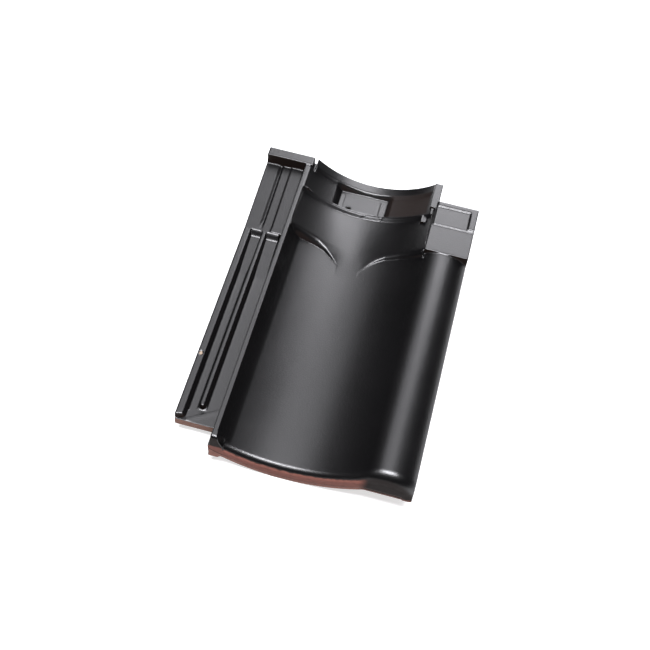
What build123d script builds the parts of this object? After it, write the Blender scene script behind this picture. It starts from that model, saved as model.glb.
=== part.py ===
"""Interlocking clay roof tile, pressed in one piece.

x runs across from the outer edge of the side lock, y from the foot edge up to the head,
z up from the floor the tile lies on. All sizes in mm. The finished solid is moved at the
end so that the middle of its outline stands over the origin.
"""
import os
from math import sqrt

from build123d import *

# Whole tile
WIDTH = 258.0
LENGTH = 390.0
WALL = 11.5  # clay thickness of trough and roll

# Rim between trough and side lock
RIM_LEFT = 47.0
RIM_RIGHT = 52.5
RIM_TOP = 52.9
RIM_FOOT_X = 59.5  # where the steep inner face of the rim meets the trough
RIM_BACK_X = RIM_LEFT - 3

# Roll, and the trough that runs from the rim's foot into it as one arc
ROLL_RADIUS = 36.0
CROWN_TOP = 58.7
ROLL_INNER_RADIUS = 20.0
LIP_REACH = 28.3  # from the roll's axis out to the face of its lip
LIP_BOTTOM = 24.0
TROUGH_TOP = 22.7  # lowest line of the glazed face above the floor
TROUGH_RISE = 13.6  # from there up to the rim's foot
LOCK_RIB = (29.0, 24.0, 25.0)  # rib under the roll: from and to, inwards from the lip, lower edge
LIP_END = 281.0  # beyond this the roll has to clear the neighbour's filled side lock
LAP_CLEAR = 42.0  # lowest edge of roll and plateau there

# Side lock flange with its two ribs and two channels
FLANGE_START = 26.0  # the flange stands back from the foot edge
FLANGE_BOTTOM = 12.0
CHANNEL_FLOOR = 22.5
RIB_TOP = 31.0
OUTER_CHANNEL = (7.0, 12.0, 20.0, 21.5)  # top and floor corners, left to right
INNER_CHANNEL = (25.0, 29.5, RIM_LEFT - 3.5, RIM_LEFT - 1)
CHANNEL_END = 283.0
CHANNEL_END_ROUND = 3.0
INNER_RIB_START = 44.0
FLANGE_HEAD_TOP = 40.0  # the filled upper part rises to this height at the head block
SHALLOW_GROOVE = (15.5, 20.5, 1.8)  # from, to, depth
PANEL_STEP_X = 30.5
PANEL_STEP = 0.8

# Head block over the side lock
BLOCK_RIGHT = RIM_RIGHT + 3.5
BLOCK_DEPTH = 12.5
BLOCK_TOP = 54.3
BLOCK_GAP = 3.5


def trough_radius(span):
    """Radius of the arc that fills the span between the rim's foot and the roll's axis.

    Left of the lowest line the arc reaches sqrt(2 R rise - rise^2), right of it up to the
    roll's axis sqrt(p R + q). Setting their sum to the span gives a quadratic in the latter.
    """
    d = ROLL_RADIUS - (TROUGH_TOP - CROWN_TOP + ROLL_RADIUS)
    p, q = 2 * d, d * (2 * ROLL_RADIUS - d)
    a = 2 * TROUGH_RISE / p - 1
    b = 2 * span
    c = -(TROUGH_RISE**2) - 2 * TROUGH_RISE * q / p - span**2
    u = (-b + sqrt(b * b - 4 * a * c)) / (2 * a)
    return (u * u - q) / p


def arc_radius(half_span, rise):
    """Radius of an arc that rises this much from its lowest point over the half span."""
    return (half_span**2 + rise**2) / (2 * rise)


ROLL_X = WIDTH - LIP_REACH
TROUGH_RADIUS = trough_radius(ROLL_X - RIM_FOOT_X)
TROUGH_X = RIM_FOOT_X + sqrt(2 * TROUGH_RADIUS * TROUGH_RISE - TROUGH_RISE**2)

# Foot: thick nose with the closed front of the roll
NOSE_RADIUS = TROUGH_RADIUS + WALL - 0.5
NOSE_X = TROUGH_X + 3
NOSE_DEPTH = 16.0
NOSE_BACK = 12.0  # length of the slope behind the nose
NOSE_LEFT = RIM_BACK_X
FOOT_ROUND = 8.0
RIM_ROUND = 14.0
BAND_HEIGHT = 7.5  # parting line above the lower edge
BAND_SETBACK = 0.7
FRONT_LEFT = WIDTH - 54  # closed roll front starts here

# End of the roll: plateau, end wall and corner tab, measured in from the lip
PLATEAU_LEFT = WIDTH - 50.5
PLATEAU_FOOT = 291.3
PLATEAU_HEAD = LENGTH - 27.2
PLATEAU_TOP = CROWN_TOP + 0.9
PANEL_FOOT = 329.5
PANEL_RISE = 1.2
STRIP = 7.0
STRIP_RISE = 1.4
WALL_LEFT = WIDTH - 56.5
WALL_RIGHT = WIDTH - 47
WALL_TOP = 60.0
CORNER_TAB = (WIDTH - 63, WIDTH - 49, 335.0, 52.0)  # from x, to x, from y, top

# Nail step and head rib: both follow arcs a little tighter than the trough
STEP_FOOT_Y = 340.5  # foot of the nail step, here the lap equals the trough
STEP_CREST_Y = 344.5
CREST_X = TROUGH_X + 5
CREST_LOW = TROUGH_TOP + 3.5
CREST_START = RIM_RIGHT + 2
CREST_RADIUS = arc_radius(CREST_X - CREST_START, RIM_TOP - 0.9 - CREST_LOW)  # up to just below the rim
RIB_FOOT_Y = 371.0  # the head rib rises in a slope from here
HEAD_RIB_Y = 379.0
HEAD_RIB_X = TROUGH_X + 7
HEAD_RIB_LOW = TROUGH_TOP + 5.8
HEAD_RIB_START = BLOCK_RIGHT + BLOCK_GAP
HEAD_RIB_RADIUS = arc_radius(HEAD_RIB_X - HEAD_RIB_START, BLOCK_TOP - 0.7 - HEAD_RIB_LOW)

# Flat pan in the channel between step and rib
PAN_LEFT = TROUGH_X - 26
PAN_RIGHT = TROUGH_X + 31
PAN_FLOOR = 24.5
PAN_SLOPE = (7.0, 8.5)  # its left wall leans out by 7 on 8.5 of height
STEP_RIDGE = 2.5  # clay left between the step and the pan

# Head lap: two ramps rise towards the foot and end in curved ledges with a funnel between
LAP_TOP_Y = 289.5  # the ramps have their full height from here, just on the foot side of the crests
LEFT_TIP = (TROUGH_X - 5.4, 267.0)
RIGHT_TIP = (TROUGH_X + 19.5, 265.5)
LEFT_CREST = (LEFT_TIP[0] - 32.6, 25.0)  # straight up to this x, then a quarter ellipse of this depth
RIGHT_CREST = (RIGHT_TIP[0] + 40.5, 28.5)
LEFT_RISE = 12.0  # full height of the ramps above the trough
RIGHT_RISE = 8.0
RISE_OVER = (TROUGH_X - 1, TROUGH_X - 43, TROUGH_X + 16, TROUGH_X + 76)  # left from, to, right from, to
LEFT_LOW = (NOSE_LEFT + 6, 18.0)  # foot line of the ledge: parabola from this x, this deep
RIGHT_LOW = (RIGHT_TIP[0] + 44.5, 22.5)
SINK = 0.4  # ramps start this far under the trough so that they run out cleanly

# Fixing: nail hole and the two nibs that hang the tile on its batten
NAIL_HOLE = 5.0
NAIL_X = TROUGH_X - 13.3
NAIL_Y = 350.0
NIB_WIDTH = 34.0
NIB_DEPTH = 15.0
NIB_HEIGHT = 16.0
NIB_Y = LENGTH - 29
NIB_SPREAD = 78.0  # between the middles of the nibs
NIB_DRAFT = 6.0

TROUGH_Z = TROUGH_TOP + TROUGH_RADIUS
ROLL_Z = CROWN_TOP - ROLL_RADIUS
UNDER_RADIUS = TROUGH_RADIUS + WALL
INNER_Z = CROWN_TOP - WALL - ROLL_INNER_RADIUS
_under = UNDER_RADIUS + ROLL_INNER_RADIUS
INNER_X = TROUGH_X + sqrt(_under**2 - (TROUGH_Z - INNER_Z) ** 2)


def low_arc(x, x_low, z_low, radius):
    """Height of a hanging arc at x."""
    return z_low + radius - sqrt(radius**2 - (x - x_low) ** 2)


def trough(x):
    return low_arc(x, TROUGH_X, TROUGH_TOP, TROUGH_RADIUS)


def underside(x):
    return low_arc(x, TROUGH_X, TROUGH_TOP - WALL, UNDER_RADIUS)


def crest(x):
    return low_arc(x, CREST_X, CREST_LOW, CREST_RADIUS)


def head_rib(x):
    return low_arc(x, HEAD_RIB_X, HEAD_RIB_LOW, HEAD_RIB_RADIUS)


def line(y, a, b):
    return Edge.make_line((a[0], y, a[1]), (b[0], y, b[1]))


def arc(y, a, m, b):
    return Edge.make_three_point_arc((a[0], y, a[1]), (m[0], y, m[1]), (b[0], y, b[1]))


def curve(y, height, x0, x1):
    """Arc that follows the height function between two places."""
    xm = (x0 + x1) / 2
    return arc(y, (x0, height(x0)), (xm, height(xm)), (x1, height(x1)))


def chain(y, *points):
    return [line(y, a, b) for a, b in zip(points, points[1:])]


def face(*edges):
    flat = []
    for e in edges:
        flat += e if isinstance(e, list) else [e]
    return Face(Wire(flat))


def sweep_y(profile, length):
    return Solid.extrude(profile, Vector(0, length, 0))


def bar(y0, y1, *points):
    """Straight length with a polygon section given as (x, z) corners."""
    return sweep_y(face(chain(y0, *points, points[0])), y1 - y0)


def block(x0, x1, y0, y1, z0, z1):
    return bar(y0, y1, (x0, z0), (x1, z0), (x1, z1), (x0, z1))


def join(x_a, z_a, r_a, x_b, z_b, r_b):
    """Point where two outside-tangent circles touch."""
    t = r_a / (r_a + r_b)
    return (x_a + (x_b - x_a) * t, z_a + (z_b - z_a) * t)


def body():
    """Rim, trough and roll, cut straight at both ends."""
    top_turn = join(TROUGH_X, TROUGH_Z, TROUGH_RADIUS, ROLL_X, ROLL_Z, ROLL_RADIUS)
    low_turn = join(TROUGH_X, TROUGH_Z, UNDER_RADIUS, INNER_X, INNER_Z, ROLL_INNER_RADIUS)
    lip_outer = ROLL_Z + sqrt(ROLL_RADIUS**2 - (WIDTH - ROLL_X) ** 2)
    lip_inner = INNER_X + ROLL_INNER_RADIUS
    foot = (RIM_FOOT_X, trough(RIM_FOOT_X))
    under_left = (RIM_FOOT_X + 2, underside(RIM_FOOT_X + 2))
    section = face(
        chain(0, (RIM_BACK_X, FLANGE_BOTTOM), (RIM_LEFT, RIM_TOP), (RIM_RIGHT, RIM_TOP), foot),
        arc(0, foot, (TROUGH_X, TROUGH_TOP), top_turn),
        arc(0, top_turn, (ROLL_X, CROWN_TOP), (WIDTH, lip_outer)),
        chain(0, (WIDTH, lip_outer), (WIDTH, LIP_BOTTOM), (lip_inner, LIP_BOTTOM), (lip_inner, INNER_Z)),
        arc(0, (lip_inner, INNER_Z), (INNER_X, INNER_Z + ROLL_INNER_RADIUS), low_turn),
        arc(0, low_turn, (TROUGH_X, TROUGH_TOP - WALL), under_left),
        chain(0, under_left, (RIM_FOOT_X - 5, FLANGE_BOTTOM), (RIM_BACK_X, FLANGE_BOTTOM)),
    )
    return sweep_y(section, STEP_FOOT_Y)


def nose():
    """Thick lip that hangs from the foot edge, with the closed front of the roll."""

    def bottom(x):
        return low_arc(x, NOSE_X, 0.0, NOSE_RADIUS)

    def lip(y0, length, drop):
        f = face(
            line(y0, (NOSE_LEFT, bottom(NOSE_LEFT)), (NOSE_LEFT, drop(NOSE_LEFT))),
            curve(y0, drop, NOSE_LEFT, FRONT_LEFT + 4),
            line(y0, (FRONT_LEFT + 4, drop(FRONT_LEFT + 4)), (FRONT_LEFT + 4, bottom(FRONT_LEFT + 4))),
            curve(y0, bottom, FRONT_LEFT + 4, NOSE_LEFT),
        )
        return sweep_y(f, length)

    def middle(x):
        return trough(x) - FOOT_ROUND - 1

    solid = lip(BAND_SETBACK, NOSE_DEPTH - BAND_SETBACK, middle)

    def slope(y, low):
        return face(
            line(y, (NOSE_LEFT, low(NOSE_LEFT)), (NOSE_LEFT, middle(NOSE_LEFT))),
            curve(y, middle, NOSE_LEFT, FRONT_LEFT),
            line(y, (FRONT_LEFT, middle(FRONT_LEFT)), (FRONT_LEFT, low(FRONT_LEFT))),
            curve(y, low, FRONT_LEFT, NOSE_LEFT),
        )

    back = loft(
        [slope(NOSE_DEPTH, bottom), slope(NOSE_DEPTH + NOSE_BACK, lambda x: underside(x) + 1)], ruled=True
    )
    # Upper part of the face stands proud of the lower band by the parting step
    upper = face(
        line(0, (NOSE_LEFT, bottom(NOSE_LEFT) + BAND_HEIGHT), (NOSE_LEFT, middle(NOSE_LEFT))),
        curve(0, middle, NOSE_LEFT, FRONT_LEFT),
        line(0, (FRONT_LEFT, middle(FRONT_LEFT)), (FRONT_LEFT, bottom(FRONT_LEFT) + BAND_HEIGHT)),
        curve(0, lambda x: bottom(x) + BAND_HEIGHT, FRONT_LEFT, NOSE_LEFT),
    )
    front_z = LIP_BOTTOM + BAND_HEIGHT
    inside = ROLL_RADIUS - FOOT_ROUND - 1
    start = (ROLL_X - inside * 0.6, ROLL_Z + inside * 0.8)
    end = (ROLL_X + sqrt(inside**2 - (front_z - ROLL_Z) ** 2), front_z)
    closed = face(
        chain(0, (FRONT_LEFT, front_z), (FRONT_LEFT, middle(FRONT_LEFT)), start),
        arc(0, start, (ROLL_X, ROLL_Z + inside), end),
        line(0, end, (FRONT_LEFT, front_z)),
    )
    band = block(FRONT_LEFT, WIDTH, BAND_SETBACK, NOSE_DEPTH, LIP_BOTTOM, front_z + 1)
    return [solid, back, sweep_y(upper, 4), sweep_y(closed, NOSE_DEPTH), band]


def flange():
    """Side lock: two ribs and two channels, filled up towards the head."""
    low = block(0, RIM_LEFT, FLANGE_START, LENGTH - 1, FLANGE_BOTTOM, RIB_TOP)
    for a, b, c, d in (OUTER_CHANNEL, INNER_CHANNEL):
        cut = bar(
            FLANGE_START - 1, CHANNEL_END, (a, RIB_TOP), (b, CHANNEL_FLOOR), (c, CHANNEL_FLOOR), (d, RIB_TOP)
        )
        ends = [e for e in cut.edges() if e.bounding_box().min.Y > CHANNEL_END - 0.01]
        upright = [e for e in ends if e.bounding_box().size.Z > 1]
        low -= fillet(upright, CHANNEL_END_ROUND)
    # Both ribs stop short of the foot edge, the outer one with a slant
    rib_gap = block(OUTER_CHANNEL[2], INNER_CHANNEL[1], FLANGE_START - 1, INNER_RIB_START, CHANNEL_FLOOR, 60)
    low -= rib_gap
    slant = Plane.XY.offset(CHANNEL_FLOOR) * Polygon(
        (-1, FLANGE_START - 2), (14, FLANGE_START - 2), (14, INNER_RIB_START), (-1, FLANGE_START + 1),
        align=None,
    )
    low -= extrude(slant, 20)
    a, b, depth = SHALLOW_GROOVE
    rise = (FLANGE_HEAD_TOP - RIB_TOP) / (LENGTH - BLOCK_DEPTH - CHANNEL_END)

    def fill(y, top):
        return face(chain(
            y, (0, RIB_TOP - 3), (0, top), (a, top), (b - 1, top - depth), (b, top), (PANEL_STEP_X, top),
            (PANEL_STEP_X + 0.6, top + PANEL_STEP), (RIM_LEFT, top + PANEL_STEP), (RIM_LEFT, RIB_TOP - 3),
            (0, RIB_TOP - 3),
        ))

    far = LENGTH - 1
    high = loft([fill(CHANNEL_END, RIB_TOP), fill(far, RIB_TOP + rise * (far - CHANNEL_END))], ruled=True)
    return [low, high]


def head():
    """Head of the tile: nail step, channel with its flat pan, head rib, and the rim beside them."""
    z_low = TROUGH_TOP - WALL
    right = WALL_LEFT + 2
    end = PLATEAU_LEFT + 1

    def course(y, start, height):
        """Section across the tile with the rim at its left and the given top."""
        xs = [start, (start + CREST_X) / 2, CREST_X, (CREST_X + right) / 2, right]
        tops = [curve(y, height, a, b) for a, b in zip(xs, xs[1:])]
        return face(
            chain(y, (RIM_BACK_X, z_low), (RIM_LEFT, RIM_TOP), (RIM_RIGHT, RIM_TOP), (start, height(start))),
            tops,
            chain(y, (right, height(right)), (end, height(right)), (end, underside(end))),
            curve(y, underside, end, TROUGH_X),
            line(y, (TROUGH_X, z_low), (RIM_BACK_X, z_low)),
        )

    step = loft(
        [course(STEP_FOOT_Y, RIM_FOOT_X, trough), course(STEP_CREST_Y, CREST_START, crest)], ruled=True
    )
    channel = sweep_y(course(STEP_CREST_Y, CREST_START, crest), HEAD_RIB_Y - STEP_CREST_Y)
    out, up = PAN_SLOPE
    channel -= bar(
        STEP_CREST_Y + STEP_RIDGE, HEAD_RIB_Y,
        (PAN_LEFT, PAN_FLOOR), (PAN_RIGHT, PAN_FLOOR),
        (PAN_RIGHT + 2 * out, PAN_FLOOR + 2 * up), (PAN_LEFT - 2 * out, PAN_FLOOR + 2 * up),
    )
    rib_left = HEAD_RIB_START

    def rib_course(y, height):
        return face(
            line(y, (rib_left, z_low), (rib_left, height(rib_left))),
            curve(y, height, rib_left, WALL_LEFT),
            line(y, (WALL_LEFT, height(WALL_LEFT)), (WALL_LEFT, underside(WALL_LEFT))),
            curve(y, underside, WALL_LEFT, TROUGH_X),
            line(y, (TROUGH_X, z_low), (rib_left, z_low)),
        )

    rise = loft(
        [rib_course(RIB_FOOT_Y, lambda x: crest(x) - SINK), rib_course(HEAD_RIB_Y, head_rib)], ruled=True
    )
    rib = sweep_y(rib_course(HEAD_RIB_Y, head_rib), LENGTH - HEAD_RIB_Y)
    # Low ground in the gap between rib and head block
    gap = block(RIM_BACK_X, rib_left + 1, HEAD_RIB_Y - 1, LENGTH, z_low, RIM_TOP - 9)
    return [step, channel, rise, rib, gap]


def ledge_cut(x_from, crest_y, low_y, height):
    """Everything on the foot side of a ledge: sloped face from its foot line up to its crest.

    The face is lofted through upright sections that stand across the tile.
    """
    sections = []
    for x in x_from:
        low = Vector(x, low_y(x), trough(x))
        top = Vector(x, crest_y(x), max(height(x), trough(x) + 1))
        lean = (top - low).normalized()
        low, top = low - lean * 3, top + lean * 12
        sections.append(Face(Wire.make_polygon(
            [low, top, Vector(x, 150, top.Z), Vector(x, 150, low.Z)], close=True
        )))
    return loft(sections, ruled=True)


def spread(x0, x1, count):
    """Stations that crowd towards the tip at x1, where the ledge turns."""
    return [x1 + (x0 - x1) * (1 - i / (count - 1)) ** 2 for i in range(count)]


def quarter(tip, shape):
    """Crest line in plan: straight, then a quarter ellipse down to the tip."""
    x_flat, depth = shape

    def y(x):
        t = max((x - x_flat) / (tip[0] - x_flat), 0)
        return tip[1] + depth * sqrt(max(1 - t * t, 0))

    return y


def parabola(tip, shape):
    """Foot line in plan: a parabola from its top down to the tip."""
    x_top, depth = shape
    return lambda x: tip[1] + depth * (1 - ((x - x_top) / (tip[0] - x_top)) ** 2)


def swell(x_from, x_to, rise):
    """Height that leaves the trough softly at one place and has its full rise at the other."""

    def height(x):
        t = min(max((x - x_from) / (x_to - x_from), 0), 1)
        return trough(x) + rise * t * t * (3 - 2 * t)

    return height


def lap():
    """Two ramps that rise to the curved ledges and leave a funnel between them."""
    y_end = min(LEFT_TIP[1], RIGHT_TIP[1]) - 8
    stations = 9

    def ramp(x0, x1, height):
        """Rises from the trough at the nail step to the given section, which runs on to the ledge."""

        def section(y, top):
            return face(
                line(y, (x0, trough(x0) - WALL / 2), (x0, top.start_point().Z)), top,
                line(y, (x1, top.end_point().Z), (x1, trough(x1) - WALL / 2)),
                curve(y, lambda x: trough(x) - WALL / 2, x1, x0),
            )

        xs = [x0 + (x1 - x0) * i / (stations - 1) for i in range(stations)]
        far = section(LAP_TOP_Y, Edge.make_spline([Vector(x, LAP_TOP_Y, height(x) - SINK) for x in xs]))
        near = section(STEP_FOOT_Y, curve(STEP_FOOT_Y, lambda x: trough(x) - SINK, x0, x1))
        return loft([near, far], ruled=True) + sweep_y(far, y_end - LAP_TOP_Y)

    rim_side = RIM_RIGHT + 0.5
    lid_side = PLATEAU_LEFT + 0.5
    left_from, left_to, right_from, right_to = RISE_OVER
    left = swell(left_from, left_to, LEFT_RISE + SINK)
    right = swell(right_from, right_to, RIGHT_RISE + SINK)
    to_rim = ramp(rim_side, left_from, left) - ledge_cut(
        [rim_side - 4] + spread(rim_side + 2, LEFT_TIP[0], stations) + [left_from + 1],
        quarter(LEFT_TIP, LEFT_CREST), parabola(LEFT_TIP, LEFT_LOW), left,
    )
    to_lid = ramp(right_from, lid_side, right) - ledge_cut(
        [lid_side + 2] + spread(lid_side - 4, RIGHT_TIP[0], stations) + [right_from - 1],
        quarter(RIGHT_TIP, RIGHT_CREST), parabola(RIGHT_TIP, RIGHT_LOW), right,
    )
    return [to_rim, to_lid]


def plateau():
    """Flat lid over the head of the roll, with its raised panel and border strips."""
    hollow = block(
        PLATEAU_LEFT + 6, INNER_X + ROLL_INNER_RADIUS, PLATEAU_FOOT - 1, PLATEAU_HEAD - WALL,
        0, INNER_Z + ROLL_INNER_RADIUS,
    )
    left, low, high = PLATEAU_LEFT + 3, PLATEAU_TOP - 1, PLATEAU_TOP + PANEL_RISE
    panel = block(left, WIDTH, PANEL_FOOT, PLATEAU_HEAD, low, high)
    strips = block(left, WIDTH, PANEL_FOOT + 2, PLATEAU_HEAD, low, high + STRIP_RISE)
    strips -= block(PLATEAU_LEFT, WIDTH - STRIP - 1, PANEL_FOOT, PLATEAU_HEAD - STRIP, PLATEAU_TOP - 2, 90)
    outer = block(PLATEAU_LEFT, WIDTH, PLATEAU_FOOT, PLATEAU_HEAD, LAP_CLEAR, PLATEAU_TOP)
    return outer - hollow, panel, strips


def nib(x):
    """Batten nib: square face to the batten, sloped behind, with slanted sides."""
    half = NIB_WIDTH / 2
    side = Face(Wire.make_polygon([
        Vector(x - NIB_WIDTH, NIB_Y, 0), Vector(x - NIB_WIDTH, NIB_Y + NIB_DEPTH, 0),
        Vector(x - NIB_WIDTH, NIB_Y + NIB_DEPTH + NIB_DRAFT, NIB_HEIGHT),
        Vector(x - NIB_WIDTH, NIB_Y, NIB_HEIGHT),
    ], close=True))
    front = bar(
        NIB_Y - 1, NIB_Y + NIB_DEPTH + NIB_DRAFT + 1,
        (x - half, 0), (x + half, 0), (x + half + 2, NIB_HEIGHT), (x - half - 2, NIB_HEIGHT),
    )
    return Solid.extrude(side, Vector(2 * NIB_WIDTH, 0, 0)) & front


def tile():
    solid = body()
    upper = [e for e in solid.edges() if e.geom_type == GeomType.CIRCLE and e.bounding_box().max.Y < 0.01]
    upper = [e for e in upper if abs(e.radius - TROUGH_RADIUS) < 0.1 or abs(e.radius - ROLL_RADIUS) < 0.1]
    solid = fillet(upper, FOOT_ROUND)
    # The rim runs out in a quarter round at the foot
    z = RIM_TOP - RIM_ROUND
    solid -= block(RIM_BACK_X - 1, RIM_FOOT_X, -1, RIM_ROUND, z, RIM_TOP + 1) - Solid.make_cylinder(
        RIM_ROUND, WIDTH, Plane((0, RIM_ROUND, z), z_dir=(1, 0, 0))
    )
    for piece in nose() + flange() + head() + lap():
        solid += piece
    rib_left, rib_right, rib_low = LOCK_RIB
    solid += block(
        WIDTH - rib_left, WIDTH - rib_right, NOSE_DEPTH - 1, LIP_END, rib_low, INNER_Z + ROLL_INNER_RADIUS + 2
    )
    solid -= block(INNER_X + 8, WIDTH + 1, LIP_END, LENGTH + 1, -1, LAP_CLEAR)
    for piece in plateau():
        solid += piece
    solid += block(0, BLOCK_RIGHT, LENGTH - BLOCK_DEPTH, LENGTH, FLANGE_BOTTOM, BLOCK_TOP)
    solid += block(WALL_LEFT, WALL_RIGHT, PLATEAU_HEAD - 10, LENGTH, underside(WALL_LEFT) - 2, WALL_TOP)
    x0, x1, y0, z1 = CORNER_TAB
    solid += block(x0, x1, y0, STEP_CREST_Y, trough(x0) - 4, z1)
    for side in (-1, 1):
        solid += nib(TROUGH_X + side * NIB_SPREAD / 2)
    solid -= Pos(NAIL_X, NAIL_Y, 0) * Cylinder(NAIL_HOLE / 2, 200)
    return solid


if __name__ == "__main__":
    os.makedirs("parts", exist_ok=True)
    made = tile()
    print("valid", made.is_valid, "solids", len(made.solids()), "volume", round(made.volume))
    done = made.moved(Location((-WIDTH / 2, -LENGTH / 2, 0)))
    print(done.bounding_box())
    export_step(done, "parts/roof_tile.step")
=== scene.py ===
# %% [markdown]
# # A black glazed clay roof tile
#
# The tile is one piece of clay, pressed, glazed on its weather side and fired. Its plain
# solid is already drawn in CAD. This lesson gives that solid the soft edges of pressed
# clay, a satin black glaze and the bare red clay of its foot, and lights it like a
# product on a pale table.

from math import radians
from types import SimpleNamespace

import bmesh
import bpy
import numpy as np
from mathutils import Matrix, Vector


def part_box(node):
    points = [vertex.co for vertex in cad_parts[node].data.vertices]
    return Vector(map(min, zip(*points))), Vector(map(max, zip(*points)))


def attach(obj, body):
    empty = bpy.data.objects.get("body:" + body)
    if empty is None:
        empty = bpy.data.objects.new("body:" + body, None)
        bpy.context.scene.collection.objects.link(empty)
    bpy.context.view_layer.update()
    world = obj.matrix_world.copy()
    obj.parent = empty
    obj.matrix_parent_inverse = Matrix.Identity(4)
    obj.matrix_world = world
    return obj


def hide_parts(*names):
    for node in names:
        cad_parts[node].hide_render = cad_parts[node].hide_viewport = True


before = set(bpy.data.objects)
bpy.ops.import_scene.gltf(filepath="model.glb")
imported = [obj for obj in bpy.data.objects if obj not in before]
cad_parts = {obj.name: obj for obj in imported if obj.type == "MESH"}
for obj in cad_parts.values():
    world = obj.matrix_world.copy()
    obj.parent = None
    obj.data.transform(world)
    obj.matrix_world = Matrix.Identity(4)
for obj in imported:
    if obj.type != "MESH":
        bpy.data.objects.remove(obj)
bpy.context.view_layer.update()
MM = 0.001
low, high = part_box("roof_tile")
print("tile, mm:", [round(v / MM, 1) for v in high - low])


# %% [markdown]
# ## The camera
#
# The photograph looks down on the tile from beyond its foot, a little from the right, and
# the camera is turned slightly about its own line of sight. A camera is easiest to set by
# where it stands, the point that it looks at and that turn, so those are the named values.

# %% Stand the camera
CAMERA_STANDS = Vector((0.0859, -0.6824, 1.0555))
CAMERA_LOOKS_AT = Vector((-0.0064, -0.0164, 0.0300))
CAMERA_TURN = radians(7.55)
FOCAL_PIXELS = 1116.2
IMAGE_PIXELS = 650
SENSOR = 36.0


def look_at(thing, target, turn=0.0):
    """Point a camera's or lamp's own -Z at a target."""
    direction = target - thing.location
    aim = direction.to_track_quat("-Z", "Y")
    thing.rotation_euler = (aim.to_matrix() @ Matrix.Rotation(turn, 3, "Z")).to_euler()


camera_data = bpy.data.cameras.new("camera")
camera_data.sensor_width = SENSOR
camera_data.lens = FOCAL_PIXELS / IMAGE_PIXELS * SENSOR
camera = bpy.data.objects.new("camera", camera_data)
camera.location = CAMERA_STANDS
bpy.context.scene.collection.objects.link(camera)
look_at(camera, CAMERA_LOOKS_AT, CAMERA_TURN)
bpy.context.scene.camera = camera
print("lens, mm:", round(camera_data.lens, 1))


# %% [markdown]
# ## The table
#
# The tile lies on a plain white table. One large flat square is enough, because the camera
# looks down and never sees the square's edge. The table's paint is a mid grey, which keeps
# the tile's soft shadow, and a glow of its own lifts it to paper white without any more
# light on the clay. The camera and the tile's gloss both see that glow.

# %% Lay the table
TABLE_SIDE = 6.0
TABLE_COLOUR = (0.50, 0.50, 0.50, 1)
TABLE_GLOW = 0.68


def node_material(name):
    """A new node material with an empty tree, and its tree."""
    material = bpy.data.materials.new(name)
    material.use_nodes = True
    material.node_tree.nodes.clear()
    return material, material.node_tree


def math_node(tree, operation):
    """A new node for one step of arithmetic."""
    node = tree.nodes.new("ShaderNodeMath")
    node.operation = operation
    return node


def table_material():
    """Grey paint plus a glow for camera, glossy and transmission rays."""
    material, tree = node_material("white_table")
    link = tree.links.new
    out = tree.nodes.new("ShaderNodeOutputMaterial")
    paint = tree.nodes.new("ShaderNodeBsdfDiffuse")
    paint.inputs["Color"].default_value = TABLE_COLOUR
    glow = tree.nodes.new("ShaderNodeEmission")
    seen = tree.nodes.new("ShaderNodeLightPath")
    one_of_two = math_node(tree, "MAXIMUM")
    one_of_three = math_node(tree, "MAXIMUM")
    strength = math_node(tree, "MULTIPLY")
    strength.inputs[1].default_value = TABLE_GLOW
    add = tree.nodes.new("ShaderNodeAddShader")
    link(seen.outputs["Is Camera Ray"], one_of_two.inputs[0])
    link(seen.outputs["Is Glossy Ray"], one_of_two.inputs[1])
    link(one_of_two.outputs[0], one_of_three.inputs[0])
    link(seen.outputs["Is Transmission Ray"], one_of_three.inputs[1])
    link(one_of_three.outputs[0], strength.inputs[0])
    link(strength.outputs[0], glow.inputs["Strength"])
    link(paint.outputs[0], add.inputs[0])
    link(glow.outputs[0], add.inputs[1])
    link(add.outputs[0], out.inputs["Surface"])
    return material


bpy.ops.mesh.primitive_plane_add(size=TABLE_SIDE, location=(0, 0, low.z))
table = bpy.context.object
table.name = "table"
table.data.materials.append(table_material())
print("table side, m:", TABLE_SIDE)


# %% [markdown]
# ## The light
#
# A black glaze has almost no colour of its own: what we see is the lamps in it. The tile's
# level faces mirror a large soft box that stands behind its head, and edges that lean some
# 20 degrees towards us mirror a second box overhead, so they carry the bright lines. A weak
# third box, high on the left, lifts the rising upper part of the side lock. Faces that lean
# aside mirror the dim room and stay black. All three boxes are a trace bluish, like the
# photograph's light.

# %% Hang the lamps
LAMP_COLOUR = (0.96, 0.955, 1.0)
ROOM_GLOW = 0.008
TILE_MIDDLE = Vector((0, 0, 0.03))


def soft_box(name, stands, width, depth, power):
    """A rectangular area lamp that looks at the tile."""
    data = bpy.data.lights.new(name, "AREA")
    data.shape = "RECTANGLE"
    data.size, data.size_y = width, depth
    data.energy = power
    data.color = LAMP_COLOUR
    lamp = bpy.data.objects.new(name, data)
    lamp.location = stands
    bpy.context.scene.collection.objects.link(lamp)
    look_at(lamp, TILE_MIDDLE)


soft_box("box_behind_head", stands=(0.31, 3.05, 1.50), width=1.80, depth=3.20, power=174)
soft_box("box_high_left", stands=(-0.42, 1.32, 2.68), width=1.75, depth=1.85, power=26)
soft_box("box_overhead", stands=(0.02, -0.32, 1.68), width=1.30, depth=0.56, power=85)

world = bpy.data.worlds.new("dim_room")
world.use_nodes = True
room = world.node_tree.nodes["Background"]
room.inputs["Color"].default_value = (1, 1, 1, 1)
room.inputs["Strength"].default_value = ROOM_GLOW
bpy.context.scene.world = world
bpy.context.scene.view_settings.view_transform = "Standard"


# %% [markdown]
# ## The pressed body
#
# A pressed tile has no knife edge: the clay rounds over in the mould and the glaze fills
# each corner. Bevelling so many crossing edges one by one would tear the mesh. So a copy
# of the CAD solid is turned into an even skin of small squares with the Remesh modifier.
# The skin can then be shaped like clay, point by point, and smoothed at the end.

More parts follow.
